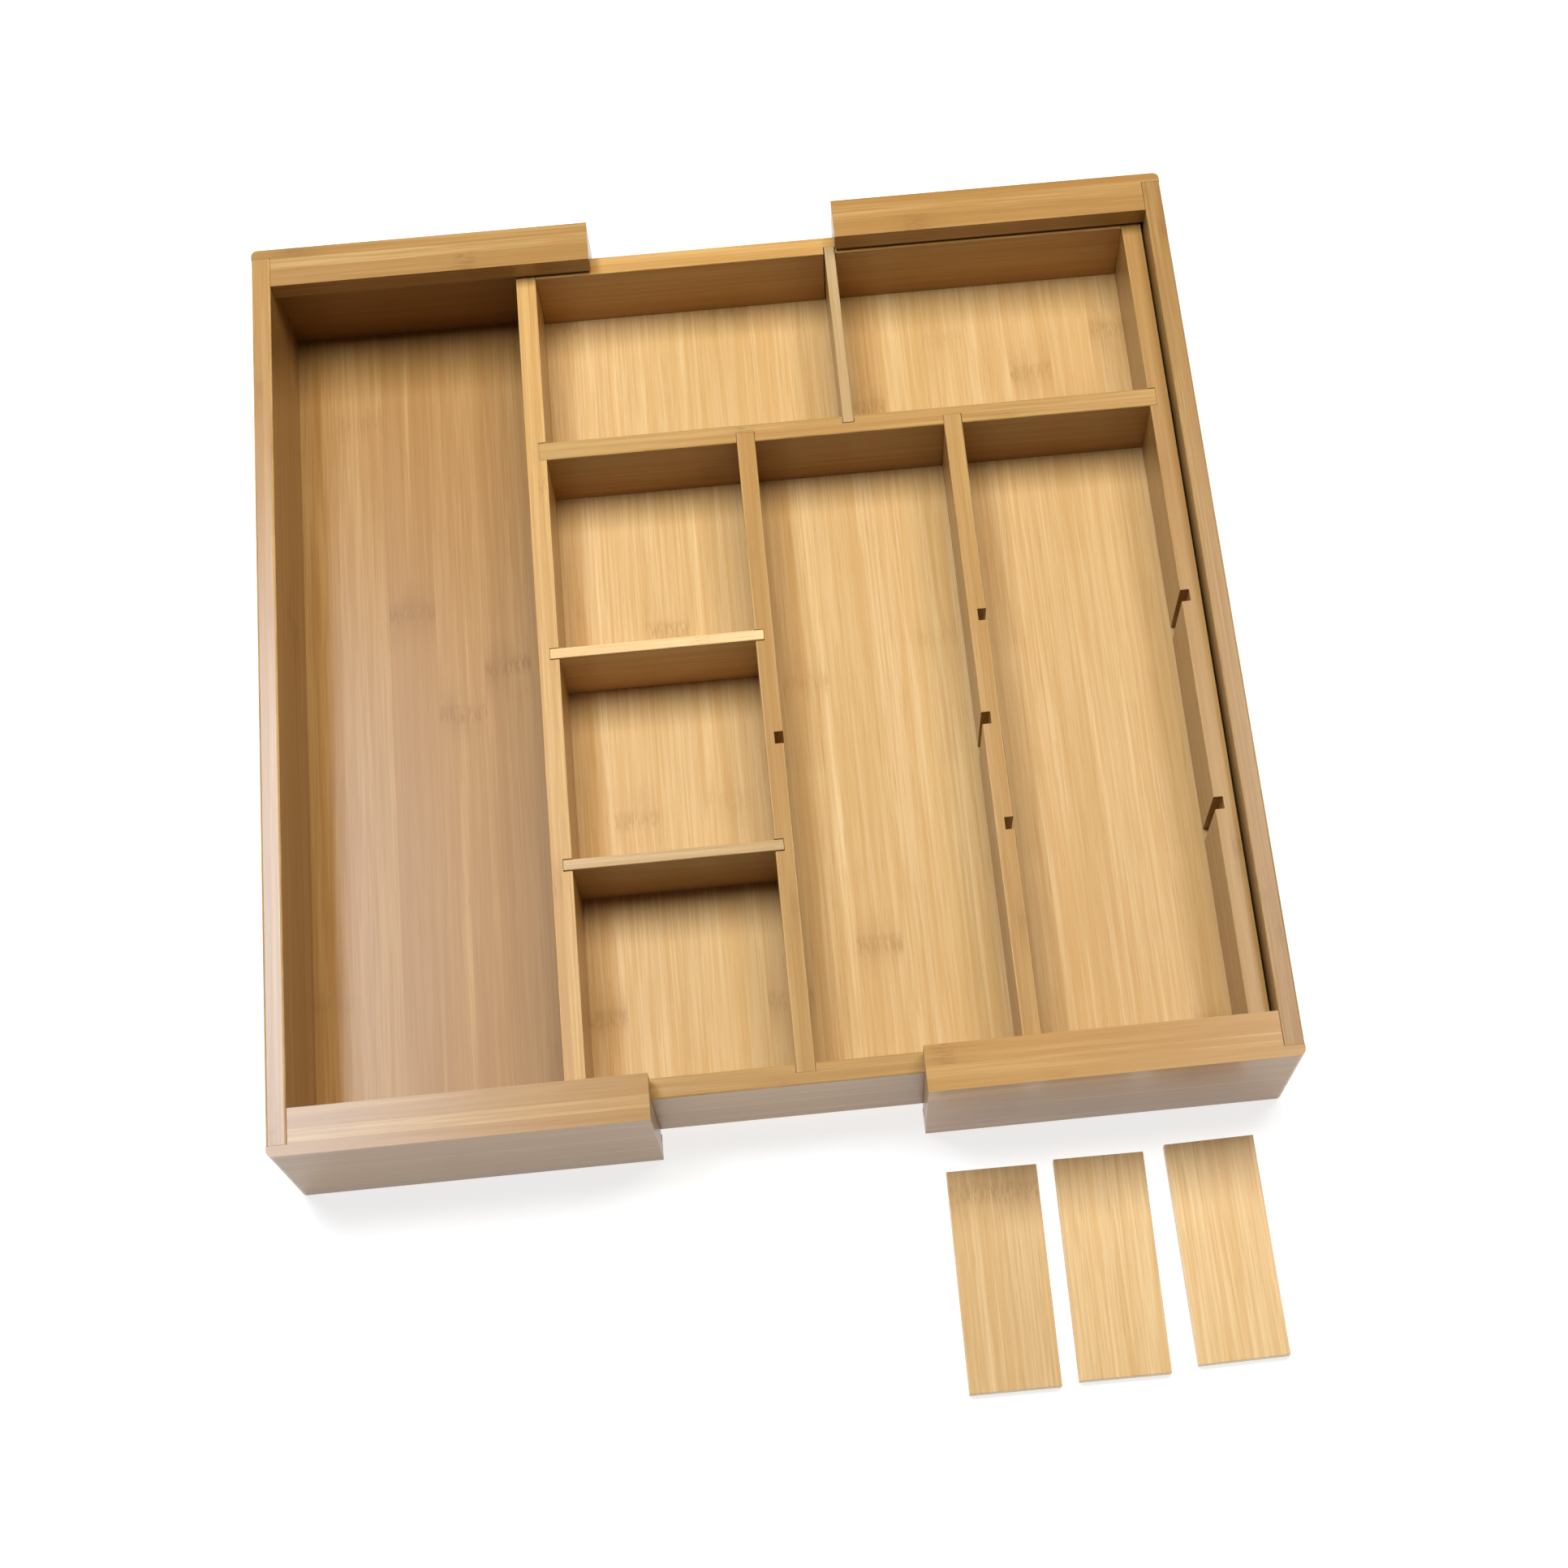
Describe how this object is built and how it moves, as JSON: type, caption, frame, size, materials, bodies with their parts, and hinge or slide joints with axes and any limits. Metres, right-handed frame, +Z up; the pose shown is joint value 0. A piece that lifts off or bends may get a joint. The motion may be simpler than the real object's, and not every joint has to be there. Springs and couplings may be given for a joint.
{
  "type": "expandable drawer organizer insert",
  "caption": "Bamboo drawer organizer: a tray of fixed and removable dividers between two U-shaped sliders that pull out sideways to fill the drawer's width.",
  "frame": {"origin": "middle of the whole footprint, loose dividers included, on the surface that the organizer stands on", "axes": "+X to the right along the pull of the right slider, +Y to the back, +Z up"},
  "size_m": [0.438, 0.562, 0.0704],
  "materials": {
    "bamboo_slider": "satin lacquer over laminated bamboo strips, grain along each piece",
    "bamboo_tray": "satin lacquer over laminated bamboo strips, grain along each piece",
    "bamboo_floor": "satin lacquered bamboo panel, strips from front to back with darker nodes",
    "bamboo_divider": "satin lacquered thin bamboo, grain along the length"
  },
  "bodies": {
    "centre_tray": {"tray_floor": "bamboo_floor", "tray_back_wall": "bamboo_tray", "tray_front_wall": "bamboo_tray", "tray_left_wall": "bamboo_tray", "tray_right_wall": "bamboo_tray", "cross_divider": "bamboo_tray", "long_divider_left": "bamboo_tray", "long_divider_right": "bamboo_tray"},
    "left_slider": {"left_side_wall": "bamboo_slider", "left_back_rail": "bamboo_slider", "left_front_rail": "bamboo_slider", "left_slider_floor": "bamboo_floor"},
    "right_slider": {"right_side_wall": "bamboo_slider", "right_back_rail": "bamboo_slider", "right_front_rail": "bamboo_slider", "right_slider_floor": "bamboo_floor"},
    "back_row_divider_body": {"back_row_divider": "bamboo_divider"},
    "left_column_rear_divider_body": {"left_column_rear_divider": "bamboo_divider"},
    "left_column_front_divider_body": {"left_column_front_divider": "bamboo_divider"},
    "loose_divider_left_body": {"loose_divider_left": "bamboo_divider"},
    "loose_divider_middle_body": {"loose_divider_middle": "bamboo_divider"},
    "loose_divider_right_body": {"loose_divider_right": "bamboo_divider"}
  },
  "joints": [
    {"name": "left_slide", "type": "slide", "parent": "centre_tray", "child": "left_slider", "axis": [-1, 0, 0], "range_m": [-0.1151, 0.0047]},
    {"name": "right_slide", "type": "slide", "parent": "centre_tray", "child": "right_slider", "axis": [1, 0, 0], "range_m": [-0.0011, 0.1187]},
    {"name": "back_row_divider_lift", "type": "slide", "parent": "centre_tray", "child": "back_row_divider_body", "axis": [0, 0, 1], "range_m": [0, 0.06]},
    {"name": "left_column_rear_divider_lift", "type": "slide", "parent": "centre_tray", "child": "left_column_rear_divider_body", "axis": [0, 0, 1], "range_m": [0, 0.06]},
    {"name": "left_column_front_divider_lift", "type": "slide", "parent": "centre_tray", "child": "left_column_front_divider_body", "axis": [0, 0, 1], "range_m": [0, 0.06]},
    {"name": "loose_divider_left_lift", "type": "slide", "parent": "centre_tray", "child": "loose_divider_left_body", "axis": [0, 0, 1], "range_m": [0, 0.06]},
    {"name": "loose_divider_middle_lift", "type": "slide", "parent": "centre_tray", "child": "loose_divider_middle_body", "axis": [0, 0, 1], "range_m": [0, 0.06]},
    {"name": "loose_divider_right_lift", "type": "slide", "parent": "centre_tray", "child": "loose_divider_right_body", "axis": [0, 0, 1], "range_m": [0, 0.06]}
  ]
}
